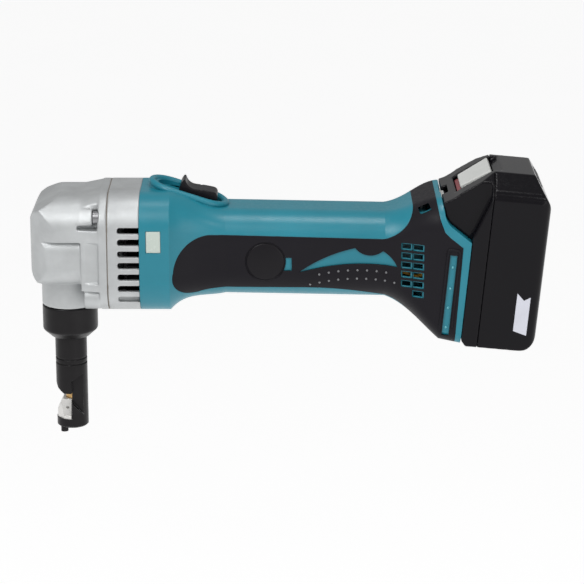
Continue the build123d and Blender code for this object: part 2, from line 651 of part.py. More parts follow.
with BuildPart() as cooling_fan:
    with BuildSketch(across(FAN_X[0], MOTOR_Z)):
        Circle(26)
        Circle(SHAFT_R, mode=Mode.SUBTRACT)
    extrude(amount=1.6)
    barrel((FAN_X[0], FAN_X[1]), 8)
    barrel((FAN_X[0] - 1, FAN_X[1] + 1), SHAFT_R, mode=Mode.SUBTRACT)
    with BuildSketch(across(FAN_X[0] + 1.6, MOTOR_Z)):
        with PolarLocations(17.5, 12):
            Rectangle(16.5, 1.4, rotation=24)
    extrude(amount=FAN_X[1] - FAN_X[0] - 1.6)
save(cooling_fan, "cooling_fan")

with BuildPart() as motor_front_bearing:
    ball_bearing(*MOTOR_BEARING, balls=8)
save(motor_front_bearing, "motor_front_bearing")

with BuildPart() as motor_rear_bearing:
    ball_bearing(*REAR_BEARING, balls=8)
save(motor_rear_bearing, "motor_rear_bearing")

with BuildPart() as baffle_plate:
    with BuildSketch(across(BOX_REAR + 0.2, HEAD_Z)):
        RectangleRounded(2 * (BOX_HALF - WALL) - 0.6, 2 * (BOX_HALF - WALL) - 0.6, BOX_R - WALL)
        with Locations((0, MOTOR_Z - HEAD_Z)):
            Circle(19, mode=Mode.SUBTRACT)
        for y, z in HEAD_SCREWS:
            with Locations((y, z - HEAD_Z), (-y, z - HEAD_Z)):
                Circle(6.2, mode=Mode.SUBTRACT)
    extrude(amount=1.4)
save(baffle_plate, "baffle_plate")

with BuildPart() as magnet_yoke:
    barrel(YOKE_X, YOKE_R)
    barrel((YOKE_X[0] - 1, YOKE_X[1] + 1), YOKE_BORE, mode=Mode.SUBTRACT)
save(magnet_yoke, "magnet_yoke")

with BuildPart() as field_magnets:
    with BuildSketch(across(CORE_X[0] - 3, MOTOR_Z)):
        Circle(YOKE_BORE)
        Circle(CORE_R + 0.6, mode=Mode.SUBTRACT)
        for turn in (0, 90):
            Rectangle(2 * YOKE_R, 5, rotation=turn + 45, mode=Mode.SUBTRACT)
    extrude(amount=CORE_X[1] - CORE_X[0] + 6)
save(field_magnets, "field_magnets")

BRUSH_HALF_X = 4.0
BRUSH_HALF_Z = 2.6
with BuildPart() as carbon_brushes:
    for hand in (-1, 1):
        y = sorted((hand * (COMMUTATOR_R - 1), hand * 17.6))
        x = (BRUSH_X - BRUSH_HALF_X, BRUSH_X + BRUSH_HALF_X)
        block(x, y, (MOTOR_Z - BRUSH_HALF_Z, MOTOR_Z + BRUSH_HALF_Z))
    barrel((COMMUTATOR_X[0] - 1, COMMUTATOR_X[1] + 1), COMMUTATOR_R + 0.08, mode=Mode.SUBTRACT)
save(carbon_brushes, "carbon_brushes")

with BuildPart() as brush_holders:
    for hand in (-1, 1):
        y = sorted((hand * 11.2, hand * 22.4))
        x_half = BRUSH_HALF_X + 1.4
        z_half = BRUSH_HALF_Z + 1.4
        block((BRUSH_X - x_half, BRUSH_X + x_half), y, (MOTOR_Z - z_half, MOTOR_Z + z_half))
        bar(sorted((hand * 17.6, hand * 22.4)), 7.6, BRUSH_X, MOTOR_Z)
        block((BRUSH_X - BRUSH_HALF_X - FIT, BRUSH_X + BRUSH_HALF_X + FIT), y,
              (MOTOR_Z - BRUSH_HALF_Z - FIT, MOTOR_Z + BRUSH_HALF_Z + FIT), mode=Mode.SUBTRACT)
        bar(sorted((hand * 20.0, hand * 22.5)), 6.4, BRUSH_X, MOTOR_Z, mode=Mode.SUBTRACT)
save(brush_holders, "brush_holders")

coils = [
    Plane(origin=(BRUSH_X, hand * 17.9, MOTOR_Z), x_dir=(1, 0, 0), z_dir=(0, hand, 0)).location
    * Helix(pitch=0.6, height=1.6, radius=1.9)
    for hand in (-1, 1)
]
with BuildPart() as brush_springs:
    for coil in coils:
        with BuildSketch(Plane(origin=coil @ 0, z_dir=coil % 0)) as wire:
            Circle(0.22)
        sweep(wire.sketch, path=coil)
save(brush_springs, "brush_springs")

with BuildPart() as brush_caps:
    for hand in (-1, 1):
        bar(sorted((hand * 20.0, hand * 23.2)), 6.35, BRUSH_X, MOTOR_Z)
        block((BRUSH_X - 5, BRUSH_X + 5), sorted((hand * 22.2, hand * 24)), (MOTOR_Z - 0.6, MOTOR_Z + 0.6),
              mode=Mode.SUBTRACT)
save(brush_caps, "brush_caps")

COVER_RECESS_R = BRUSH_COVER_R + 0.9
COVER_INNER = 24.2

def cover_crown(hand):
    """The slightly crowned face of a brush cover."""
    with BuildPart(mode=Mode.PRIVATE) as crown:
        bar(sorted((hand * 25.6, hand * 26.6)), BRUSH_COVER_R - 0.5, BRUSH_X, MOTOR_Z)
        with Locations((BRUSH_X, hand * (26.6 - 70), MOTOR_Z)):
            Sphere(70, mode=Mode.INTERSECT)
    return crown.part


for hand, name in ((-1, "brush_cover_left"), (1, "brush_cover_right")):
    with BuildPart() as brush_cover:
        bar(sorted((hand * COVER_INNER, hand * 25.6)), BRUSH_COVER_R, BRUSH_X, MOTOR_Z)
        add(cover_crown(hand))
        bar(sorted((hand * (COVER_INNER - 0.6), hand * COVER_INNER)), 7.0, BRUSH_X, MOTOR_Z)
    save(brush_cover, name)

# ---------------------------------------------------------------- motor housing and grips
BAND = ((-3.2, -70), (-4.6, -3.4), (-12.6, 1.9), (-16.2, 4.9), (-19.9, 12.5), (-27.5, 37), (-40, 70))
SHELL_SCREWS = ((108, 77), (145, 77), (186, 76.5), (172, 112), (214, 62), (212, 119))
STRAP_SLOT = (213.0, 125.6)
STRAP_SLOT_SIZE = (7.2, 3.4)
STRAP_SLOT_TURN = 27  # degrees, along the slope of the foot's top
VENT_ROWS = 6
VENT_ROW_Z = 103.0
VENT_ROW_PITCH = 5.7
FOOT_VENTS = [(202.7, 5.0, row) for row in range(5)] + [(209.5, 5.4, row) for row in range(VENT_ROWS)]


def rear_cut(inset=0.0):
    """Everything in front of the foot's rear face, which steps forward to clear the battery's hood."""
    with BuildPart(mode=Mode.PRIVATE) as region:
        with BuildSketch(pack_side(60)):
            with BuildLine():
                Polyline((-300, -120), (0, -120), (0, 0), (-11.5, 7.6))
                ThreePointArc((-11.5, 7.6), (-15.4, 11.2), (-17.4, 16))
                Polyline((-17.4, 16), (-26, 42), (-300, 120), (-300, -120))
            make_face()
            if inset:
                offset(amount=-inset, mode=Mode.REPLACE)
        extrude(amount=120)
    return region.part


def grip_region(depth):
    """The side outline of the soft grip, as a block on the near side that is depth thick."""
    with BuildPart(mode=Mode.PRIVATE) as region:
        with BuildSketch(side(60)) as outline:
            with BuildLine():
                ThreePointArc((85.0, 109.6), (70.4, 102.2), (64.4, 88))
                ThreePointArc((64.4, 88), (65.6, 78.6), (71.6, 73.8))
                ThreePointArc((71.6, 73.8), (76, 73.4), (81, 74.6))
                ThreePointArc((81, 74.6), (90, 76.3), (100, 76.6))
                Line((100, 76.6), (145, 76.4))
                ThreePointArc((145, 76.4), (172, 74.2), (189, 70.8))
                ThreePointArc((189, 70.8), (198.6, 66.4), (206, 59.6))
                Polyline((206, 59.6), (214, 50), (222, 40), (260, 30), (260, 160))
                Polyline((260, 160), (206.6, 150), (206.6, 128))
                ThreePointArc((206.6, 128), (202.8, 115.8), (194, 108.4))
                ThreePointArc((194, 108.4), (191, 107.2), (187, 106.9))
                Line((187, 106.9), (85.0, 109.6))
            make_face()
        extrude(amount=depth)
        # the blue band around the foot's rear stays bare
        with BuildSketch(pack_side(60)):
            Polygon(*BAND, (60, 70), (60, -70), align=None)
        extrude(amount=depth, mode=Mode.SUBTRACT)
    return region.part


def wave_window(y, depth):
    """The wave-shaped window in the grip."""
    with BuildPart(mode=Mode.PRIVATE) as window:
        with BuildSketch(side(y)):
            with BuildLine():
                ThreePointArc((138.3, 86.0), (156, 96.2), (172.3, 101.4))
                ThreePointArc((172.3, 101.4), (181, 96.8), (188.8, 99.5))
                ThreePointArc((188.8, 99.5), (193.8, 95.4), (197.4, 89.8))
                ThreePointArc((197.4, 89.8), (168, 91.4), (138.3, 86.0))
            make_face()
        extrude(amount=depth)
    return window.part


def strip_block(half_width, low, high, y, depth):
    """The upright strip on the foot's flank."""
    with BuildPart(mode=Mode.PRIVATE) as strip:
        with BuildSketch(pack_side(y)):
            with Locations((-9.6, (low + high) / 2)):
                Rectangle(2 * half_width, high - low)
        extrude(amount=depth)
    return strip.part


incline = radians(LEVER_SLOPE)


def track_plane(drop=0.0):
    """The plane of the lever's track: its own X runs down the slope to the rear, its own Y is +Y."""
    return Plane(origin=(LEVER_X, 0, LEVER_Z - drop), x_dir=(cos(incline), 0, -sin(incline)),
                 z_dir=(sin(incline), 0, cos(incline)))


def track_stadium(start, end, half, low, high):
    """A rounded slab on the track, between two heights over its rim."""
    with BuildPart(mode=Mode.PRIVATE) as slab:
        with BuildSketch(track_plane(0).offset(low)):
            with Locations(((start + end) / 2, 0)):
                RectangleRounded(end - start, 2 * half, half - 0.1)
        extrude(amount=high - low)
    return slab.part


GRIP_SHAPE = body_form()
GRIP_BED = body_form(SKIN)
BODY_CAVITY = body_form(WALL)
TRACK_LENGTH = 47.0
TRACK_HALF = 14.5
TRACK_DEPTH = 3.0
RIB_THICKNESS = 1.6

with BuildPart() as grip_skin:
    add(GRIP_SHAPE)
    add(rear_cut(), mode=Mode.INTERSECT)
    add(GRIP_BED, mode=Mode.SUBTRACT)
    add(grip_region(120), mode=Mode.INTERSECT)

with BuildPart() as hollow:
    add(BODY_CAVITY)
    add(rear_cut(3.0), mode=Mode.INTERSECT)
    # open towards the bearing box
    with BuildSketch(across(BOX_REAR - 1, HEAD_Z)):
        RectangleRounded(2 * (BOX_HALF - WALL), 2 * (BOX_HALF - WALL), BOX_R - WALL)
    extrude(amount=2)

# ribs that hold the yoke, the rear bearing and the switch
with BuildPart() as ribs:
    for x in ((60, 62.4), (95, 97.4)):
        block(x, (-40, 40), (55, 114.6))
    block((127.4, 135.6), (-40, 40), (60, 114.4))
    for x in ((139.4, 141.6), (165.4, 167.4)):
        block(x, (-40, 40), (60, 114))
    add(body_form(WALL - 0.1), mode=Mode.INTERSECT)
    barrel((59, 98), YOKE_R, mode=Mode.SUBTRACT)
    barrel((REAR_BEARING[0], REAR_BEARING[0] + REAR_BEARING[1]), REAR_BEARING[3], mode=Mode.SUBTRACT)
    barrel((127, 136), 6.4, mode=Mode.SUBTRACT)
    block((139, 168), (-9.6, 9.6), (84, 120), mode=Mode.SUBTRACT)
    block((139, 168), (-8, 8), (60, 120), mode=Mode.SUBTRACT)

# bosses for the long screws of the head
with BuildPart() as head_bosses:
    for y, z in HEAD_SCREWS:
        for hand in (-1, 1):
            barrel((BOX_REAR, 62), 5, hand * y, z)
    add(body_form(0.6), mode=Mode.INTERSECT)

# bosses for the screws that join the two shells
with BuildPart() as shell_bosses:
    for x, z in SHELL_SCREWS:
        bar((-40, 40), 3.7, x, z)
    add(body_form(SKIN + 0.2), mode=Mode.INTERSECT)
    add(rear_cut(1), mode=Mode.INTERSECT)

# an upright plate between the two rows of rear vents
with BuildPart() as foot_rib:
    block((200, 213), (-RIB_THICKNESS, 0), (58, 122))
    add(body_form(WALL - 0.1), mode=Mode.INTERSECT)

with BuildPart() as body_shell:
    add(GRIP_SHAPE)
    # the raised rim around the switch lever
    add(track_stadium(-1, TRACK_LENGTH, TRACK_HALF, -9, 0))
    add(rear_cut(), mode=Mode.INTERSECT)
    add(hollow.part, mode=Mode.SUBTRACT)
    add(track_stadium(3, TRACK_LENGTH - 4, TRACK_HALF - 4, -TRACK_DEPTH, 3), mode=Mode.SUBTRACT)
    add(track_stadium(2, TRACK_LENGTH - 3, TRACK_HALF - 3, -TRACK_DEPTH - 1.8, -TRACK_DEPTH))
    add(track_stadium(17, TRACK_LENGTH - 6, 2.6, -12, 1), mode=Mode.SUBTRACT)
    add(grip_skin.part, mode=Mode.SUBTRACT)
    add(ribs.part)
    add(head_bosses.part)
    for y, z in HEAD_SCREWS:
        for hand in (-1, 1):
            barrel((BOX_REAR - 1, SCREW_SEAT + 39), 2.5, hand * y, z, mode=Mode.SUBTRACT)
    add(shell_bosses.part)
    # brush openings, with room for the covers
    for hand in (-1, 1):
        bar(sorted((hand * 18, hand * 30)), 7.7, BRUSH_X, MOTOR_Z, mode=Mode.SUBTRACT)
        bar(sorted((hand * 24.1, hand * 30)), COVER_RECESS_R, BRUSH_X, MOTOR_Z, mode=Mode.SUBTRACT)
        block((131, 134.6), sorted((hand * 25.0, hand * 30)), (87.4, 95.4), mode=Mode.SUBTRACT)
    add(foot_rib.part)
    # rear vents
    for x, width, row in FOOT_VENTS:
        z = VENT_ROW_Z - row * VENT_ROW_PITCH
        for reach in ((-45, -8), (8, 45)):
            block((x - width / 2, x + width / 2), reach, (z - 1.5, z + 1.5), mode=Mode.SUBTRACT)
    # slot for a strap through the top of the foot
    with BuildSketch(side(45)):
        with Locations(STRAP_SLOT):
            RectangleRounded(*STRAP_SLOT_SIZE, 0.8, rotation=STRAP_SLOT_TURN)
    extrude(amount=90, mode=Mode.SUBTRACT)

RAIL_TOP = -3.0
RAIL_LOW = -56.0
with BuildPart() as rails:
    with BuildSketch(pack_across(-0.2)):
        with Locations((0, (RAIL_TOP + RAIL_LOW) / 2)):
            Rectangle(42, RAIL_TOP - RAIL_LOW)
    extrude(amount=2.8)
    with BuildSketch(pack_across(2.6)):
        with Locations((0, (RAIL_TOP + RAIL_LOW) / 2)):
            Rectangle(50, RAIL_TOP - RAIL_LOW)
    extrude(amount=2.3)
    # the middle is open for the terminal block
    with BuildSketch(pack_across(-0.3)):
        with Locations((0, -29)):
            Rectangle(30, 58)
    extrude(amount=6, mode=Mode.SUBTRACT)

TERMINAL_OPENING = (15.0, -44.0, -12.0)
LATCH_Y = 9.0
with BuildPart() as terminal_way:
    with BuildSketch(pack_across(-6)):
        with Locations((0, (TERMINAL_OPENING[1] + TERMINAL_OPENING[2]) / 2)):
            Rectangle(2 * TERMINAL_OPENING[0], TERMINAL_OPENING[2] - TERMINAL_OPENING[1])
    extrude(amount=14)
    # the notch that takes the battery's latch
    with BuildSketch(pack_side(LATCH_Y)):
        Polygon((-20.1, 14.6), (-10, 14.6), (-10, 45), (-20.1, 45), align=None)
    extrude(amount=2 * LATCH_Y)

for hand, shell_name, grip_name in ((-1, "housing_left", "grip_left"), (1, "housing_right", "grip_right")):
    half = (-60, 0) if hand < 0 else (0, 60)
    with BuildPart() as shell:
        add(body_shell.part)
        add(rails.part)
        block((0, 300), half, (0, 200), mode=Mode.INTERSECT)
        add(terminal_way.part, mode=Mode.SUBTRACT)
        insert_y = (-40, -34.6) if hand < 0 else (34.6, 40)
        block((48.6, 57.4), insert_y, (101.0, 114.2), mode=Mode.SUBTRACT)
        for x, z in SHELL_SCREWS:
            seat = 19.0 if x < 200 else 26.0
            if hand > 0:
                bar((-1, 60), 1.7, x, z, mode=Mode.SUBTRACT)
                bar((seat, 60), 3.5, x, z, mode=Mode.SUBTRACT)
            else:
                bar((-14, 1), 1.5, x, z, mode=Mode.SUBTRACT)
    save(shell, shell_name)
    with BuildPart() as grip:
        add(grip_skin.part)
        block((0, 300), half, (0, 200), mode=Mode.INTERSECT)
        y0 = 60 if hand > 0 else -5
        add(wave_window(y0, 55), mode=Mode.SUBTRACT)
        add(strip_block(2.1, -58, -8.5, y0, 55), mode=Mode.SUBTRACT)
        bar(sorted((hand * 10, hand * 45)), COVER_RECESS_R, BRUSH_X, MOTOR_Z, mode=Mode.SUBTRACT)
        block((129, 134.6), sorted((hand * 10, hand * 45)), (87.4, 95.4), mode=Mode.SUBTRACT)
        for x, width, row in FOOT_VENTS:
            z = VENT_ROW_Z - row * VENT_ROW_PITCH
            block((x - width / 2 - 0.7, x + width / 2 + 0.7), half, (z - 2.2, z + 2.2), mode=Mode.SUBTRACT)
        with BuildSketch(side(60)):
            with Locations(STRAP_SLOT):
                RectangleRounded(*STRAP_SLOT_SIZE, 0.8, rotation=STRAP_SLOT_TURN)
        extrude(amount=120, mode=Mode.SUBTRACT)
        if hand > 0:
            for x, z in SHELL_SCREWS:
                bar((10, 60), 3.5, x, z, mode=Mode.SUBTRACT)
    save(grip, grip_name)

with BuildPart() as housing_screws:
    for x, z in SHELL_SCREWS:
        seat = 19.0 if x < 200 else 26.0
        bar((seat, seat + 2.6), 3.3, x, z)
        bar((-13, seat), 1.5, x, z)
        with BuildSketch(side(seat + 2.6)):
            with Locations((x, z)):
                RegularPolygon(1.5, 6)
        extrude(amount=1.6, mode=Mode.SUBTRACT)
save(housing_screws, "housing_screws")

with BuildPart() as side_inserts:
    for hand in (-1, 1):
        block((48.7, 57.3), sorted((hand * 34.7, hand * 36.1)), (101.1, 114.1))
save(side_inserts, "side_inserts")

# ---------------------------------------------------------------- switch and wiring
with BuildPart() as switch_lever:
    # the thumb piece, seen from the side: a hump in front, a dip and a gentle crown behind
    with BuildSketch(Plane(origin=track_plane(0).origin, x_dir=track_plane(0).x_dir, z_dir=(0, -1, 0))):
        with BuildLine():
            Polyline((16.2, -2.6), (16.2, 4.6), (16.8, 6.4))
            ThreePointArc((16.8, 6.4), (17.6, 7.1), (18.4, 6.6))
            ThreePointArc((18.4, 6.6), (21, 4.2), (25, 3.6))
            ThreePointArc((25, 3.6), (30, 4.5), (36, 5.2))
            ThreePointArc((36, 5.2), (38.4, 4.4), (39.4, 2.0))
            Polyline((39.4, 2.0), (39.8, -2.6), (16.2, -2.6))
        make_face()
    extrude(amount=7.4, both=True)
    fillet(switch_lever.edges().filter_by(Axis.Y).group_by(SortBy.LENGTH)[0][:1], 0.2)
    # grooves across the thumb piece
    with BuildSketch(Plane(origin=track_plane(0).origin, x_dir=track_plane(0).x_dir, z_dir=(0, -1, 0))):
        for i in range(4):
            with Locations((22.4 + 2.0 * i, 4.3)):
                Circle(0.55)
    extrude(amount=8, both=True, mode=Mode.SUBTRACT)
    block((79.2, 81.0), (-2.2, 2.2), (118.6, 127.0))
save(switch_lever, "switch_lever")

ROD_Z = (115.6, 117.4)
with BuildPart() as switch_rod:
    block((76.4, 150), (-4, 4), ROD_Z)
    for x in ((76.4, 79.0), (81.2, 83.8)):
        block(x, (-3, 3), (ROD_Z[1], 119.4))
    block((148, 150), (-3, 3), (ROD_Z[0] - 1.4, ROD_Z[0]))
save(switch_rod, "switch_rod")

with BuildPart() as switch_body:
    block((142.2, 164.8), (-9.4, 9.4), (90, 112))
    block((141, 166), (-7.6, 7.6), (94, 108))
    for y in (-5, 5):
        block((164.8, 168), (y - 0.4, y + 0.4), (96, 102))
save(switch_body, "switch_body")

with BuildPart() as switch_knob:
    block((144, 147.4), (-3, 3), (112, 115.2))
save(switch_knob, "switch_knob")

with BuildPart() as terminal_block:
    with BuildSketch(pack_across(-12)):
        with Locations((0, -28)):
            RectangleRounded(29.4, 31.4, 1.5)
    extrude(amount=15.5)
    with BuildSketch(pack_across(-11)):
        with Locations((0, -28)):
            Rectangle(26, 28)
    extrude(amount=-1.0)
save(terminal_block, "terminal_block")

with BuildPart() as terminal_blades:
    for y in (-10.5, 10.5):
        with BuildSketch(pack_across(-15)):
            with Locations((y, -25)):
                Rectangle(1.0, 9)
        extrude(amount=3)
        with BuildSketch(pack_across(3.5)):
            with Locations((y, -25)):
                Rectangle(1.0, 9)
        extrude(amount=4.6)
    with BuildSketch(pack_across(3.5)):
        with Locations((3, -24)):
            Rectangle(1.0, 6)
    extrude(amount=3.4)
save(terminal_blades, "terminal_blades")

WIRE_R = 1.3
wire_routes = [
    FilletPolyline((168.4, y, 99), (181, y, 98), (196, y * 2, low), (210, y * 2.1, low - 5),
                   pack_point(-16.2, -25, y * 2.1), radius=6)
    for y, low in ((-5, 84.3), (5, 80.6))
]
with BuildPart() as lead_wires:
    for route in wire_routes:
        with BuildSketch(Plane(origin=route @ 0, z_dir=route % 0)) as wire_section:
            Circle(WIRE_R)
        sweep(wire_section.sketch, path=route)
save(lead_wires, "lead_wires")

# ---------------------------------------------------------------- battery
CASE_WALL = 2.2
FACET = radians(35)  # the slope of the hood's front facet
FACET_W = -8.6
FACET_U = 28.0
FACET_RUN = (BATTERY_TOP - FACET_U) / tan(FACET)
CROWN_HALF = 22.5
HOOD_LOW = -22.0
CHANNEL_NECK = (21.4, 2.3)  # half width and depth of the rail channel's mouth
CHANNEL_HEAD = (25.4, 5.3)
CHANNEL_TOP = -2.6
CELL_R = 8.4
CELL_LENGTH = 65.0
CELL_PLACES = [(w, -52.6 + i * (2 * CELL_R + 0.1)) for w in (33.6, 16.7) for i in range(5)]
BUTTON_LENGTH = 20.5


def facet_plane(height=0.0):
    """The plane of the hood's front facet: its own X runs up the slope, its own Y is +Y."""
    rise = FACET - TILT
    normal = (-sin(rise), 0, cos(rise))
    foot = pack_point(FACET_W, FACET_U)
    origin = (foot[0] + height * normal[0], 0, foot[2] + height * normal[2])
    return Plane(origin=origin, x_dir=(cos(rise), 0, sin(rise)), z_dir=normal)


def hood_flank(inset):
    """What lies beside the hood, which is narrower than the box."""
    with BuildPart(mode=Mode.PRIVATE) as flank:
        with BuildSketch(pack_side(60)):
            Polygon((-2, 4), (1, 5), (9, 27), (9, 50), (-2, 50), align=None)
            if inset:
                offset(amount=inset, kind=Kind.INTERSECTION, mode=Mode.REPLACE)
        extrude(amount=120)
        half = HOOD_HALF - inset
        with BuildSketch(pack_across(-30)):
            Rectangle(2 * half, 200)
        extrude(amount=60, mode=Mode.SUBTRACT)
    return flank.part


def pack_form(inset=0.0):
    """The battery's outer form: a crowned box with a narrower hood over the foot."""
    with BuildPart(mode=Mode.PRIVATE) as box:
        # seen along the rails
        with BuildSketch(Plane(origin=pack_point(0, -70), x_dir=(cos(TILT), 0, -sin(TILT)),
                               z_dir=(sin(TILT), 0, cos(TILT)))) as plan:
            with Locations((BATTERY_OUT / 2 + GAP / 2, 0)):
                Rectangle(BATTERY_OUT - GAP - 2 * inset, 2 * (BATTERY_HALF - inset))
            fillet(plan.vertices().group_by(Axis.X)[-1], 6 - inset)
        extrude(amount=130)
        add(hood_flank(inset), mode=Mode.SUBTRACT)
    with BuildPart(mode=Mode.PRIVATE) as form:
        add(box.part)
        with BuildSketch(pack_across(-26)) as hood_section:
            with Locations((0, (BATTERY_TOP + HOOD_LOW) / 2)):
                Rectangle(2 * (HOOD_HALF - inset), BATTERY_TOP - HOOD_LOW - 2 * inset)
            fillet(hood_section.vertices().group_by(Axis.Y)[-1], 7 - inset)
        extrude(amount=26 + 14)
        # crowned top
        with BuildSketch(pack_across(-40)):
            with BuildLine():
                high = BATTERY_TOP - inset
                edge = BATTERY_HALF - inset
                Polyline((edge, 27 - inset), (edge, BATTERY_LOW + inset), (-edge, BATTERY_LOW + inset))
                Line((-edge, BATTERY_LOW + inset), (-edge, 27 - inset))
                ThreePointArc((-edge, 27 - inset), (-edge + 1.4, 31 - inset), (-edge + 4.4, 33.6 - inset))
                Polyline((-edge + 4.4, 33.6 - inset), (-CROWN_HALF, high), (CROWN_HALF, high))
                Line((CROWN_HALF, high), (edge - 4.4, 33.6 - inset))
                ThreePointArc((edge - 4.4, 33.6 - inset), (edge - 1.4, 31 - inset), (edge, 27 - inset))
            make_face()
        extrude(amount=100, mode=Mode.INTERSECT)
        # seen from the side
        with BuildSketch(pack_side(60)):
            with BuildLine():
                Polyline((-40, 0.2), (0, 0.2), (0, -60), (3, BATTERY_LOW), (34.5, BATTERY_LOW))
                ThreePointArc((34.5, BATTERY_LOW), (41.6, -60.6), (BATTERY_OUT, -53.5))
                Polyline((BATTERY_OUT, -53.5), (BATTERY_OUT, 22))
                ThreePointArc((BATTERY_OUT, 22), (43.9, 25.6), (42.2, 28.8))
                Polyline((42.2, 28.8), (34.0, BATTERY_TOP), (FACET_W + FACET_RUN, BATTERY_TOP))
                Line((FACET_W + FACET_RUN, BATTERY_TOP), (FACET_W, FACET_U))
                ThreePointArc((FACET_W, FACET_U), (-14.6, 23.2), (-20.6, 20.4))
                Line((-20.6, 20.4), (-40, 0.2))
            make_face()
            if inset:
                offset(amount=-inset, mode=Mode.REPLACE)
        extrude(amount=120, mode=Mode.INTERSECT)
        add(rear_cut(-GAP - inset), mode=Mode.SUBTRACT)
    return form.part


with BuildPart() as pack_shell:
    add(pack_form())
    add(pack_form(CASE_WALL), mode=Mode.SUBTRACT)

with BuildPart() as button_bed:
    with BuildSketch(facet_plane(-2.9)):
        with Locations((BUTTON_LENGTH / 2 + 0.9, 0)):
            Rectangle(BUTTON_LENGTH + 8.6, 35.4)
    extrude(amount=8)

# keeps the lower case closed under the upper end of the bed
with BuildPart() as bed_floor:
    with BuildSketch(facet_plane(-4.9)):
        with Locations((22.5, 0)):
            Rectangle(8, 39)
    extrude(amount=2.4)
    add(pack_form(0.6), mode=Mode.INTERSECT)

with BuildPart() as battery_upper_case:
    add(pack_shell.part)
    with BuildSketch(pack_across(CASE_SPLIT)):
        Rectangle(200, 200)
    extrude(amount=60, mode=Mode.SUBTRACT)
    with BuildSketch(pack_across(GAP)):
        with Locations((0, -31.6)):
            Rectangle(2 * CHANNEL_HEAD[0] + 3.6, 59.6)
    extrude(amount=CHANNEL_HEAD[1] + 1.8 - GAP)
    for (half, depth), start in ((CHANNEL_NECK, -1), (CHANNEL_HEAD, CHANNEL_NECK[1])):
        with BuildSketch(pack_across(start)):
            with Locations((0, (CHANNEL_TOP - 70) / 2)):
                Rectangle(2 * half, CHANNEL_TOP + 70)
        extrude(amount=depth - start, mode=Mode.SUBTRACT)
    # slots for the tool's blades, open at the lower end
    for y, half in ((-10.5, 1.1), (10.5, 1.1), (3, 0.9)):
        with BuildSketch(pack_across(4)):
            with Locations((y, -45)):
                Rectangle(2 * half, 50)
        extrude(amount=4.8, mode=Mode.SUBTRACT)
    # bed of the button, and the ways for its stem and its hook
    add(button_bed.part, mode=Mode.SUBTRACT)
    with BuildSketch(facet_plane(-9)):
        with Locations((6.1, 0)):
            Rectangle(11.4, 16.8)
    extrude(amount=8, mode=Mode.SUBTRACT)
    with BuildSketch(pack_side(8.4)):
        Polygon((-24, 14.8), (-11.5, 14.8), (-11.5, 22.4), (-24, 22.4), align=None)
    extrude(amount=16.8, mode=Mode.SUBTRACT)
save(battery_upper_case, "battery_upper_case")

# the charge panel sits on the bevel between the battery's top and its outer face
panel_slope = atan2(BATTERY_TOP - 28.8, 42.2 - 34.0) + TILT
panel_plane = Plane(origin=pack_point(38.1, (BATTERY_TOP + 28.8) / 2), x_dir=(0, 1, 0),
                    z_dir=(sin(panel_slope), 0, cos(panel_slope)))
with BuildPart() as battery_lower_case:
    add(pack_shell.part)
    add(bed_floor.part)
    add(button_bed.part, mode=Mode.SUBTRACT)
    with BuildSketch(pack_across(CASE_SPLIT)):
        Rectangle(200, 200)
    extrude(amount=-60, mode=Mode.SUBTRACT)
    # a fine shadow groove along the joint
    with BuildSketch(pack_across(CASE_SPLIT)):
        with Locations((0, -13)):
            Rectangle(90, 120)
            Rectangle(2 * BATTERY_HALF - 0.9, 120, mode=Mode.SUBTRACT)
    extrude(amount=0.7, mode=Mode.SUBTRACT)
    with BuildSketch(panel_plane.offset(-0.6)):
        RectangleRounded(30, 7, 1)
    extrude(amount=3, mode=Mode.SUBTRACT)
save(battery_lower_case, "battery_lower_case")

with BuildPart() as battery_button:
    with BuildSketch(facet_plane(-2.5)):
        with BuildLine():
            Polyline((0, -13.6), (BUTTON_LENGTH, -16.8), (BUTTON_LENGTH, 16.8), (0, 13.6), (0, -13.6))
        make_face()
    extrude(amount=3.0)
    facet_normal = Axis(facet_plane().origin, facet_plane().z_dir)
    fillet(battery_button.faces().sort_by(facet_normal)[-1].edges(), 0.6)
    with BuildSketch(pack_side(8)):
        Polygon((-6.3, 26.6), (-2.2, 29.5), (-0.2, 26.6), (-5, 15.6), (-19.4, 15.6), (-19.4, 19.4),
                (-8.2, 19.4), (-4, 23.3), align=None)
    extrude(amount=16)
save(battery_button, "battery_button")

with BuildPart() as latch_indicator:
    with BuildSketch(facet_plane(-2.9)):
        with Locations((-1.6, 0)):
            Rectangle(2.6, 26)
    extrude(amount=1.2)
save(latch_indicator, "latch_indicator")

with BuildPart() as battery_cells:
    for w, u in CELL_PLACES:
        with BuildSketch(pack_side(CELL_LENGTH / 2)):
            with Locations((w, u)):
                Circle(CELL_R)
        extrude(amount=CELL_LENGTH)
save(battery_cells, "battery_cells")

with BuildPart() as cell_holder:
    for y in (34.6, -32.7):
        with BuildSketch(pack_side(y)):
            with Locations((25, -18.5)):
                RectangleRounded(31, 80, 3)
            with Locations(CELL_PLACES):
                Circle(3.4, mode=Mode.SUBTRACT)
        extrude(amount=1.9)
save(cell_holder, "cell_holder")

with BuildPart() as battery_contacts:
    for y in (-10.5, 10.5):
        for hand in (-1, 1):
            with BuildSketch(pack_across(CHANNEL_HEAD[1] + 0.1)):
                with Locations((y + hand * 0.85, -25.6)):
                    Rectangle(0.4, 10.6)
            extrude(amount=1.6)
save(battery_contacts, "battery_contacts")

with BuildPart() as charge_panel:
    with BuildSketch(panel_plane.offset(-0.6)):
        RectangleRounded(30, 7, 1)
    extrude(amount=0.8)
    with BuildSketch(panel_plane.offset(0.2)):
        with GridLocations(4.4, 1, 4, 1):
            RectangleRounded(2.6, 1.2, 0.5)
        with Locations((12.2, 0)):
            Circle(1.9)
    extrude(amount=0.3)
save(charge_panel, "charge_panel")

with BuildPart() as battery_board:
    with BuildSketch(pack_across(12)):
        with Locations((0, 29)):
            Rectangle(50, 5)
    extrude(amount=24)
save(battery_board, "battery_board")
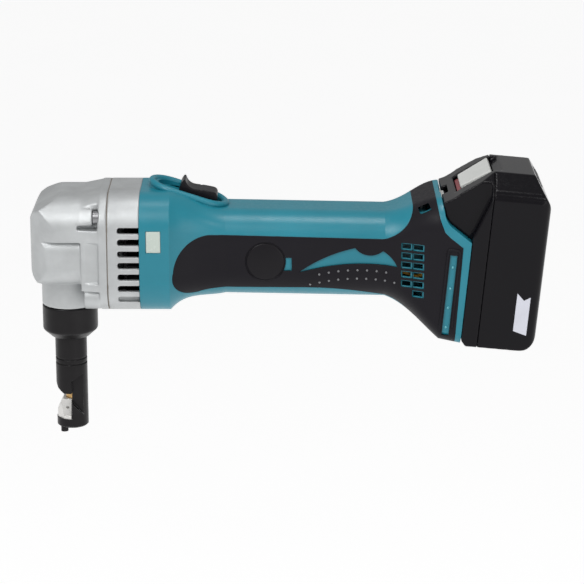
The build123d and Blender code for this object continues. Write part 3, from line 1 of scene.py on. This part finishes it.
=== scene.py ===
"""Looks of the nibbler tool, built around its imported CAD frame."""
import json
import math

import bmesh
import bpy
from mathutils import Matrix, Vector

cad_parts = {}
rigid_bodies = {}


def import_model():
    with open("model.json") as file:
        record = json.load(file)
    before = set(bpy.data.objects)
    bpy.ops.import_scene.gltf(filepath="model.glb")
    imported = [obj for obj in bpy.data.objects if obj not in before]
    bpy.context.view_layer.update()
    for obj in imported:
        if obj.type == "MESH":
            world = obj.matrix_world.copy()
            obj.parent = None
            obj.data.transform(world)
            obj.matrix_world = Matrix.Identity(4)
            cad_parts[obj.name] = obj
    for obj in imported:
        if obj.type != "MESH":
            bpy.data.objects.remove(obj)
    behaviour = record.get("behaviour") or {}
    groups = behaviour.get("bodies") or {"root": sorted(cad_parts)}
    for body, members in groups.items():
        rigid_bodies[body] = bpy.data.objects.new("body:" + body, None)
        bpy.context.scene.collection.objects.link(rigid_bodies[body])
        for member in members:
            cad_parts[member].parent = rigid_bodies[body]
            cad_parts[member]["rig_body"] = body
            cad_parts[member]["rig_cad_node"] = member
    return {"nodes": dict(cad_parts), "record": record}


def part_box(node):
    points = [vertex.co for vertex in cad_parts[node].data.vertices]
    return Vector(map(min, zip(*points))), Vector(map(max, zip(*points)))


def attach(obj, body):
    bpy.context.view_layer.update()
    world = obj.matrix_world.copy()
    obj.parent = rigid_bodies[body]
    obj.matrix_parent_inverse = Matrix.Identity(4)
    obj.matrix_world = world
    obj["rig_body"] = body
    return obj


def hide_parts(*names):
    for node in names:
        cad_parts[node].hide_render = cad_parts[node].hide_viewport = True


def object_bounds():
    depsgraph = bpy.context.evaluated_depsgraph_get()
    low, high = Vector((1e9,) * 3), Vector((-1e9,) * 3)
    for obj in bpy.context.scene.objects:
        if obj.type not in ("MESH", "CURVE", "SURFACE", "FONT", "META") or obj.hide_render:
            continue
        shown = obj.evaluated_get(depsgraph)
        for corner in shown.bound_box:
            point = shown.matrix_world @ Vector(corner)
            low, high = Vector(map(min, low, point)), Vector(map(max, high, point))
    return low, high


MM = 0.001
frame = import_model()
NODES = frame["nodes"]
CAD_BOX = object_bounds()


# ---------------------------------------------------------------- materials
class Nodes:
    """A short way to write a material's node tree."""

    def __init__(self, name):
        self.material = bpy.data.materials.new(name)
        self.material.use_nodes = True
        self.tree = self.material.node_tree
        self.shader = self.tree.nodes["Principled BSDF"]
        self.coords = self.tree.nodes.new("ShaderNodeTexCoord").outputs["Object"]

    def link(self, a, b):
        self.tree.links.new(a, b)

    def noise(self, scale, detail=4.0, rough=0.55, stretch=None):
        node = self.tree.nodes.new("ShaderNodeTexNoise")
        node.inputs["Scale"].default_value = scale
        node.inputs["Detail"].default_value = detail
        node.inputs["Roughness"].default_value = rough
        source = self.coords
        if stretch:
            mapping = self.tree.nodes.new("ShaderNodeMapping")
            mapping.inputs["Scale"].default_value = stretch
            self.link(self.coords, mapping.inputs["Vector"])
            source = mapping.outputs["Vector"]
        self.link(source, node.inputs["Vector"])
        return node.outputs["Fac"]

    def spread(self, value, low, high, start=0.3, end=0.7):
        node = self.tree.nodes.new("ShaderNodeMapRange")
        node.inputs["From Min"].default_value = start
        node.inputs["From Max"].default_value = end
        node.inputs["To Min"].default_value = low
        node.inputs["To Max"].default_value = high
        self.link(value, node.inputs["Value"])
        return node.outputs["Result"]

    def mix(self, factor, a, b):
        node = self.tree.nodes.new("ShaderNodeMix")
        node.data_type = "RGBA"
        self.link(factor, node.inputs[0])
        for socket, value in ((node.inputs[6], a), (node.inputs[7], b)):
            if isinstance(value, tuple):
                socket.default_value = (*value, 1.0)
            else:
                self.link(value, socket)
        return node.outputs[2]

    def edges(self, radius, low=0.02, high=0.2):
        """1 on sharp edges and 0 on flat faces, from how far a rounded normal leans."""
        bevel = self.tree.nodes.new("ShaderNodeBevel")
        bevel.inputs["Radius"].default_value = radius
        bevel.samples = 4
        geometry = self.tree.nodes.new("ShaderNodeNewGeometry")
        dot = self.tree.nodes.new("ShaderNodeVectorMath")
        dot.operation = "DOT_PRODUCT"
        self.link(bevel.outputs["Normal"], dot.inputs[0])
        self.link(geometry.outputs["Normal"], dot.inputs[1])
        return self.spread(dot.outputs["Value"], 1.0, 0.0, 1 - high, 1 - low), bevel.outputs["Normal"]

    def bump(self, height, strength, distance, normal=None):
        node = self.tree.nodes.new("ShaderNodeBump")
        node.inputs["Strength"].default_value = strength
        node.inputs["Distance"].default_value = distance
        self.link(height, node.inputs["Height"])
        if normal is not None:
            self.link(normal, node.inputs["Normal"])
        return node.outputs["Normal"]


def finish_material(nodes, color, rough, metallic=0.0, specular=0.5, normal=None, coat=0.0):
    """Plugs what a material's function worked out into its shader."""
    nodes.link(color, nodes.shader.inputs["Base Color"])
    nodes.link(rough, nodes.shader.inputs["Roughness"])
    nodes.shader.inputs["Metallic"].default_value = metallic
    nodes.shader.inputs["Specular IOR Level"].default_value = specular
    nodes.shader.inputs["Coat Weight"].default_value = coat
    nodes.shader.inputs["Coat Roughness"].default_value = 0.12
    if normal is not None:
        nodes.link(normal, nodes.shader.inputs["Normal"])
    return nodes.material


def moulded(name, color, light, rough=(0.42, 0.52), grain=0.25, size=2600, specular=0.45, wear_and_sheen=0.4, edge=0.35):
    """Moulded plastic: spark-eroded grain, slow changes of shade and lighter edges: slight polish on most
    plastics, and painted highlights on the battery's case.
    """
    n = Nodes(name)
    edge_mask, soft = n.edges(edge * MM)
    # lighter edges: slight polish, and a painted highlight where the edge colour and its amount are raised, as on
    # the battery's case
    wear_and_sheen_mask = n.tree.nodes.new("ShaderNodeMath")
    wear_and_sheen_mask.operation = "MULTIPLY"
    n.link(edge_mask, wear_and_sheen_mask.inputs[0])
    n.link(n.spread(n.noise(160), 0.1 * wear_and_sheen, wear_and_sheen), wear_and_sheen_mask.inputs[1])
    shade = n.mix(n.spread(n.noise(28, 3), 0, 1), tuple(c * 0.93 for c in color), tuple(c * 1.07 for c in color))
    tint = n.mix(wear_and_sheen_mask.outputs[0], shade, light)
    fine = n.noise(size, 2, 0.6)
    return finish_material(n, tint, n.spread(n.noise(420), *rough), specular=specular,
                           normal=n.bump(fine, grain, 0.06 * MM, soft))


def metal(name, color, light, rough=(0.25, 0.4), metallic=1.0, grain=0.15, size=1800, stretch=None, wear_and_sheen=0.5,
          edge=0.3, tip=None):
    """Metal with a machined or cast skin, stains and brighter rubbed edges, more so below the height tip."""
    n = Nodes(name)
    edge_mask, soft = n.edges(edge * MM)
    wear_and_sheen_mask = n.tree.nodes.new("ShaderNodeMath")
    wear_and_sheen_mask.operation = "MULTIPLY"
    n.link(edge_mask, wear_and_sheen_mask.inputs[0])
    patches = n.spread(n.noise(240), 0.0, wear_and_sheen)
    if tip is not None:
        place = n.tree.nodes.new("ShaderNodeSeparateXYZ")
        n.link(n.coords, place.inputs["Vector"])
        rubbing = n.tree.nodes.new("ShaderNodeMath")
        rubbing.operation = "MULTIPLY"
        n.link(n.spread(place.outputs["Z"], 2.5, 0.35, tip - 4 * MM, tip), rubbing.inputs[0])
        n.link(patches, rubbing.inputs[1])
        patches = rubbing.outputs[0]
    n.link(patches, wear_and_sheen_mask.inputs[1])
    shade = n.mix(n.spread(n.noise(60, 5), 0, 1), tuple(c * 0.88 for c in color), tuple(c * 1.08 for c in color))
    tint = n.mix(wear_and_sheen_mask.outputs[0], shade, light)
    fine = n.noise(size, 3, 0.6, stretch)
    return finish_material(n, tint, n.spread(n.noise(300, 5), *rough), metallic=metallic, specular=0.4,
                           normal=n.bump(fine, grain, 0.05 * MM, soft))


TEAL = (0.010, 0.195, 0.262)
TEAL_LIGHT = (0.05, 0.33, 0.42)
MATERIALS = {
    "cast_silver": metal("cast_silver", (0.50, 0.515, 0.52), (0.72, 0.73, 0.73), (0.42, 0.52), 0.55, 0.3, 2200,
                         edge=0.9),
    "gasket_paper": moulded("gasket_paper", (0.20, 0.17, 0.14), (0.34, 0.28, 0.22), (0.8, 0.9), 0.5, 1200),
    "screw_steel": metal("screw_steel", (0.32, 0.32, 0.33), (0.7, 0.7, 0.7), (0.28, 0.4)),
    "black_oxide": metal("black_oxide", (0.018, 0.017, 0.018), (0.30, 0.30, 0.30), (0.3, 0.42), 0.7, 0.2, 1400,
                         (1, 1, 12), wear_and_sheen=0.6, edge=0.4, tip=2 * MM),
    "tool_steel": metal("tool_steel", (0.72, 0.71, 0.69), (0.95, 0.95, 0.93), (0.3, 0.38), 0.45, 0.05, wear_and_sheen=0.9),
    "punch_steel": metal("punch_steel", (0.66, 0.42, 0.17), (0.9, 0.7, 0.4), (0.24, 0.34), 0.7, stretch=(8, 8, 1)),
    "bearing_steel": metal("bearing_steel", (0.6, 0.6, 0.6), (0.85, 0.85, 0.85), (0.12, 0.22)),
    "laminations": metal("laminations", (0.12, 0.12, 0.125), (0.4, 0.4, 0.4), (0.4, 0.5), stretch=(40, 1, 1)),
    "copper": metal("copper", (0.62, 0.25, 0.11), (0.9, 0.55, 0.35), (0.25, 0.4), stretch=(30, 1, 1)),
    "brass_trim": metal("brass_trim", (0.65, 0.48, 0.2), (0.9, 0.75, 0.45), (0.25, 0.4)),
    "carbon": moulded("carbon", (0.02, 0.02, 0.02), (0.06, 0.06, 0.06), (0.7, 0.8), 0.4, 1500),
    "milky_plastic": moulded("milky_plastic", (0.50, 0.56, 0.51), (0.75, 0.8, 0.76), (0.2, 0.3), 0.15, 900,
                             0.6, edge=1.2),
    # the strip's bumps: a teal paler than the housing's, which is a painted highlight on each bump; their gloss is
    # real
    "bump_blue_painted_highlight": moulded("bump_blue_painted_highlight", (0.10, 0.40, 0.47), (0.3, 0.6, 0.65), (0.15, 0.2), 0.05, specular=0.7),
    # the grip's bumps: a grey far paler than the grip's rubber, which is a painted highlight on each bump
    "bump_rubber_painted_highlight": moulded("bump_rubber_painted_highlight", (0.16, 0.16, 0.17), (0.3, 0.3, 0.31), (0.3, 0.4), 0.3, 1900, 0.6),
    "label_grey": moulded("label_grey", (0.62, 0.63, 0.70), (0.75, 0.76, 0.8), (0.3, 0.4), 0.1),
    "nylon_white": moulded("nylon_white", (0.62, 0.62, 0.58), (0.75, 0.75, 0.72)),
    "black_plastic": moulded("black_plastic", (0.008, 0.007, 0.009), (0.05, 0.05, 0.053), (0.3, 0.4), 0.3, 2400,
                             0.18),
    "blue_plastic": moulded("blue_plastic", TEAL, TEAL_LIGHT, (0.30, 0.40), 0.22, 2600, 0.5, 0.45, 0.7),
    "grip_rubber": moulded("grip_rubber", (0.010, 0.009, 0.012), (0.055, 0.053, 0.058), (0.4, 0.5), 0.35, 1900,
                           0.14, edge=0.6),
    "wire_cover": moulded("wire_cover", (0.75, 0.38, 0.03), (0.85, 0.5, 0.1), (0.3, 0.4), 0.1),
    # the battery's case: its pale, wide edge band is a painted highlight along the edges, not wear
    "battery_black": moulded("battery_black", (0.0045, 0.004, 0.0055), (0.11, 0.11, 0.115), (0.12, 0.18), 0.06,
                             1500, 0.18, wear_and_sheen=0.8, edge=0.8),
    "button_grey": moulded("button_grey", (0.60, 0.61, 0.59), (0.75, 0.76, 0.74), (0.4, 0.5), 0.2),
    "red_plastic": moulded("red_plastic", (0.2, 0.005, 0.012), (0.35, 0.03, 0.04), (0.2, 0.3), 0.1),
    "cell_wrap": moulded("cell_wrap", (0.03, 0.18, 0.14), (0.1, 0.3, 0.25), (0.2, 0.3), 0.05),
    "board_green": moulded("board_green", (0.01, 0.11, 0.03), (0.05, 0.2, 0.08), (0.25, 0.4), 0.2),
}
SLOT_OF = {part["node"]: part["material_slot"] for part in frame["record"]["subparts"]}


def paint(piece, slot):
    piece.data.materials.clear()
    piece.data.materials.append(MATERIALS[slot])


for node, slot in SLOT_OF.items():
    paint(NODES[node], slot)


# ---------------------------------------------------------------- pieces
# the battery's own frame: it leans back by TILT, and STEP is where its rails begin
TILT = math.radians(5.3)
HOOD_SLOPE = math.radians(35)
STEP = Vector((240.6, 0, 107.3)) * MM
ACROSS = Vector((math.cos(TILT), 0, -math.sin(TILT)))
ALONG = Vector((math.sin(TILT), 0, math.cos(TILT)))


def pack_point(w, u, y=0.0):
    """A point from how far it is across and along the battery's rails, in millimetres."""
    return STEP + ACROSS * w * MM + ALONG * u * MM + Vector((0, y * MM, 0))


def body_of(node):
    return NODES[node]["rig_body"]


def soften(node, voxel, rounds):
    """A copy of a CAD node whose edges are really rounded: remeshed in small squares and relaxed."""
    piece = NODES[node].copy()
    piece.data = NODES[node].data.copy()
    piece.name = node + "_soft"
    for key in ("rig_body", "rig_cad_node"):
        if key in piece:
            del piece[key]
    piece.parent = None
    bpy.context.scene.collection.objects.link(piece)
    mesh = bmesh.new()
    mesh.from_mesh(piece.data)
    bmesh.ops.remove_doubles(mesh, verts=mesh.verts, dist=1e-6)
    mesh.to_mesh(piece.data)
    mesh.free()
    remesh = piece.modifiers.new("remesh", "REMESH")
    remesh.mode = "VOXEL"
    remesh.voxel_size = voxel * MM
    remesh.adaptivity = 0
    relax = piece.modifiers.new("relax", "SMOOTH")
    relax.factor = 0.5
    relax.iterations = rounds
    bpy.context.view_layer.update()
    ready = bpy.data.meshes.new_from_object(piece.evaluated_get(bpy.context.evaluated_depsgraph_get()))
    piece.modifiers.clear()
    piece.data = ready
    piece.data.polygons.foreach_set("use_smooth", [True] * len(piece.data.polygons))
    paint(piece, SLOT_OF[node])
    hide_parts(node)
    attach(piece, body_of(node))
    return piece


def darken_hook(piece):
    """The pad of the battery's button is pale, and the hook below it has the colour of the case."""
    piece.data.materials.append(MATERIALS["battery_black"])
    slope = HOOD_SLOPE - TILT
    upright = Vector((-math.sin(slope), 0, math.cos(slope)))
    slope_foot = pack_point(-8.6, 28)
    pad_low = -2.4 * MM
    for face in piece.data.polygons:
        if (face.center - slope_foot).dot(upright) < pad_low:
            face.material_index = 1


# the node, the size of the remesh's squares in millimetres, and the rounds of relaxing
SOFT_NODES = (("gear_housing", 0.5, 9), ("bearing_box", 0.5, 3), ("lock_nut", 0.5, 4), ("switch_lever", 0.3, 22),
              ("battery_upper_case", 0.6, 5), ("battery_lower_case", 0.6, 5), ("battery_button", 0.35, 5),
              ("side_inserts", 0.3, 14), ("brush_cover_left", 0.25, 3), ("brush_cover_right", 0.25, 3))
for node, voxel, rounds in SOFT_NODES:
    softened = soften(node, voxel, rounds)
    if node == "battery_button":
        darken_hook(softened)


def surface_point(node, x, z, side):
    """Where a line along Y from one side first meets a CAD node, and the surface's normal there."""
    start = Vector((x, side * 0.2, z))
    hit, place, normal, _ = NODES[node].ray_cast(start, Vector((0, -side, 0)))
    return (place, normal) if hit else (None, None)


def new_piece(name, mesh, body, slot):
    data = bpy.data.meshes.new(name)
    mesh.to_mesh(data)
    mesh.free()
    data.polygons.foreach_set("use_smooth", [True] * len(data.polygons))
    piece = bpy.data.objects.new(name, data)
    bpy.context.scene.collection.objects.link(piece)
    paint(piece, slot)
    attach(piece, body)
    return piece


def add_dome(mesh, place, normal, radius, height):
    """A low round bump that stands on a surface."""
    turn = normal.to_track_quat("Z", "Y").to_matrix().to_4x4()
    made = bmesh.ops.create_uvsphere(mesh, u_segments=16, v_segments=10, radius=1.0)
    for vert in made["verts"]:
        spot = turn @ Vector((vert.co.x * radius, vert.co.y * radius, vert.co.z * height))
        vert.co = place + spot


# each row of the grip's bumps: first and last x, how many, and the height of its crest
BUMP_ROWS = ((151.0, 190.8, 8, 87.8), (145.6, 195.7, 10, 82.6))
GRIP_BUMP = (0.7 * MM, 0.6 * MM)  # radius and height
ROW_CREST_X = 174.0
ROW_BEND = 200.0  # a row falls away from its crest by the distance squared over this


def grip_bumps():
    """Two rows of small bumps under the grip's wave."""
    for node, side in (("grip_left", -1), ("grip_right", 1)):
        mesh = bmesh.new()
        for first, last, count, crest in BUMP_ROWS:
            for i in range(count):
                x = first + (last - first) * i / (count - 1)
                z = crest - (x - ROW_CREST_X) ** 2 / ROW_BEND
                place, normal = surface_point(node, x * MM, z * MM, side)
                if place is not None:
                    add_dome(mesh, place, normal, *GRIP_BUMP)
        # the bumps get the pale grey, a painted highlight
        new_piece(node + "_bumps", mesh, "housing", "bump_rubber_painted_highlight")


STRIP_ACROSS = -9.6
STRIP_BUMPS = (-16, -29, -41, -53)
STRIP_BUMP = (0.9 * MM, 0.8 * MM)
RIDGE_R = 0.9 * MM
RIDGE_CORNERS = ((-13.2, -56), (-13.2, -6.5), (-12.6, -5.2), (-7.0, -5.2), (-6.2, -6.5), (-6.2, -56))
RIDGE_STEP = 3.0


def strip_details():
    """Four small bumps on each flank's strip, and the ridge that frames the strip."""
    for shell, grip, side in (("housing_left", "grip_left", -1), ("housing_right", "grip_right", 1)):
        mesh = bmesh.new()
        for u in STRIP_BUMPS:
            spot = pack_point(STRIP_ACROSS, u)
            place, normal = surface_point(shell, spot.x, spot.z, side)
            if place is not None:
                add_dome(mesh, place, normal, *STRIP_BUMP)
        # the bumps get the pale teal, a painted highlight
        new_piece(shell + "_bumps", mesh, "housing", "bump_blue_painted_highlight")
        route = []
        for (w0, u0), (w1, u1) in zip(RIDGE_CORNERS, RIDGE_CORNERS[1:]):
            steps = max(2, int(math.hypot(w1 - w0, u1 - u0) / RIDGE_STEP))
            for i in range(steps):
                spot = pack_point(w0 + (w1 - w0) * i / steps, u0 + (u1 - u0) * i / steps)
                place, _ = surface_point(grip, spot.x, spot.z, side)
                if place is not None:
                    route.append(place)
        tube(grip + "_ridge", route, RIDGE_R, "housing", "grip_rubber", closed=False)


STRIPE_LIFTS = (-0.3, 0.08)  # its inner and outer face, from the case's flat side
STRIPE_OUTLINE = ((30.2, -51.2), (38.3, -53.4), (38.3, -29.6), (34.6, -32.0), (30.2, -27.8))


def label_stripes():
    """The plain pale stripe printed on each flat face of the battery."""
    low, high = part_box("battery_lower_case")
    for name, side, face in (("left", -1, low.y), ("right", 1, high.y)):
        mesh = bmesh.new()
        rings = []
        for lift in STRIPE_LIFTS:
            ring = []
            for w, u in STRIPE_OUTLINE:
                spot = pack_point(w, u)
                ring.append(mesh.verts.new((spot.x, face + side * lift * MM, spot.z)))
            rings.append(ring)
        for ring in rings:
            mesh.faces.new(ring)
        for i in range(len(STRIPE_OUTLINE)):
            j = (i + 1) % len(STRIPE_OUTLINE)
            mesh.faces.new((rings[0][i], rings[0][j], rings[1][j], rings[1][i]))
        bmesh.ops.recalc_face_normals(mesh, faces=mesh.faces)
        piece = new_piece("battery_stripe_" + name, mesh, "battery", "label_grey")
        piece.data.polygons.foreach_set("use_smooth", [False] * len(piece.data.polygons))


def tube(name, route, radius, body, slot, closed=True):
    """A round bead along a list of points."""
    curve = bpy.data.curves.new(name, "CURVE")
    curve.dimensions = "3D"
    curve.bevel_depth = radius
    curve.bevel_resolution = 5
    spline = curve.splines.new("POLY")
    spline.points.add(len(route) - 1)
    spline.use_cyclic_u = closed
    for point, place in zip(spline.points, route):
        point.co = (*place, 1)
    piece = bpy.data.objects.new(name, curve)
    bpy.context.scene.collection.objects.link(piece)
    paint(piece, slot)
    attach(piece, body)
    return piece


SEAL_DEPTH = 25.2 * MM
SEAL_R = 0.43 * MM
SEAL_GAP = 0.45 * MM
SEAL_STEPS = 64


def cover_seals():
    """The black seal in the groove around each brush cover."""
    for node, side in (("brush_cover_left", -1), ("brush_cover_right", 1)):
        low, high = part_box(node)
        centre = (low + high) / 2
        radius = (high.x - low.x) / 2 + SEAL_GAP
        depth = side * SEAL_DEPTH
        route = []
        for i in range(SEAL_STEPS):
            angle = math.tau * i / SEAL_STEPS
            route.append(Vector((centre.x + radius * math.cos(angle), depth, centre.z + radius * math.sin(angle))))
        tube(node + "_seal", route, SEAL_R, "housing", "grip_rubber")


def track_rim():
    """The round lip of the track that the switch lever slides in."""
    slope = math.radians(18)
    down = Vector((math.cos(slope), 0, -math.sin(slope)))
    up = Vector((math.sin(slope), 0, math.cos(slope)))
    origin = Vector((52, 0, 137)) * MM
    # half the track's width, the centres of its two round ends along the slope, and points on each
    half, start, end, arc_steps = 12.9, 12.2, 32.5, 16
    rim_r = 2.1 * MM
    route = []
    for centre, turn in ((end, -90), (start, 90)):
        for i in range(arc_steps + 1):
            angle = math.radians(turn + 180 * i / arc_steps)
            along, aside = centre + half * math.cos(angle), half * math.sin(angle)
            route.append(origin + down * along * MM + up * -0.5 * MM + Vector((0, aside * MM, 0)))
    tube("track_rim", route, rim_r, "housing", "blue_plastic")


cover_seals()
track_rim()
grip_bumps()
strip_details()
label_stripes()


# ---------------------------------------------------------------- floor, light and camera
def build_stage():
    low, high = CAD_BOX
    centre = Vector(((low[0] + high[0]) / 2, 0, (low[2] + high[2]) / 2))
    bpy.ops.mesh.primitive_plane_add(size=30, location=(centre.x, 0, low[2] - 1.2))
    floor = bpy.context.object
    floor.name = "floor"
    n = Nodes("floor_white")
    pale = n.mix(n.noise(2), (0.90, 0.90, 0.90), (0.93, 0.93, 0.93))
    finish_material(n, pale, n.spread(n.noise(5), 0.8, 0.9))
    n.shader.inputs["Emission Color"].default_value = (1, 1, 1, 1)
    n.shader.inputs["Emission Strength"].default_value = 0.6
    floor.data.materials.append(n.material)
    world = bpy.data.worlds.new("studio")
    bpy.context.scene.world = world
    world.use_nodes = True
    world.node_tree.nodes["Background"].inputs["Color"].default_value = (1, 1, 1, 1)
    world.node_tree.nodes["Background"].inputs["Strength"].default_value = 0.38
    bpy.context.scene.view_settings.view_transform = "Standard"
    lights = (("key", (-0.6, -0.9, 0.95), 0.8, 8.5), ("fill", (0.9, -1.2, 0.3), 1.0, 4),
              ("top", (0.1, -0.1, 1.3), 0.4, 4), ("spark_left", (-0.5, -1.1, 0.9), 0.14, 1.2),
              ("spark_right", (0.55, -0.9, 1.1), 0.14, 1.2))
    for name, offset, size, power in lights:
        lamp = bpy.data.lights.new(name, "AREA")
        lamp.size = size
        lamp.energy = power
        holder = bpy.data.objects.new(name, lamp)
        bpy.context.scene.collection.objects.link(holder)
        holder.location = centre + Vector(offset)
        holder.rotation_euler = (centre - holder.location).to_track_quat("-Z", "Y").to_euler()


def build_camera():
    target = Vector((0.1348, 0, 0.0666))
    distance, elevation = 1.5, math.radians(16.5)
    camera = bpy.data.objects.new("camera", bpy.data.cameras.new("camera"))
    bpy.context.scene.collection.objects.link(camera)
    camera.location = target + Vector((0, -math.cos(elevation), math.sin(elevation))) * distance
    camera.rotation_euler = (target - camera.location).to_track_quat("-Z", "Y").to_euler()
    camera.data.sensor_width = 36
    camera.data.lens = 152.4
    bpy.context.scene.camera = camera


build_stage()
build_camera()
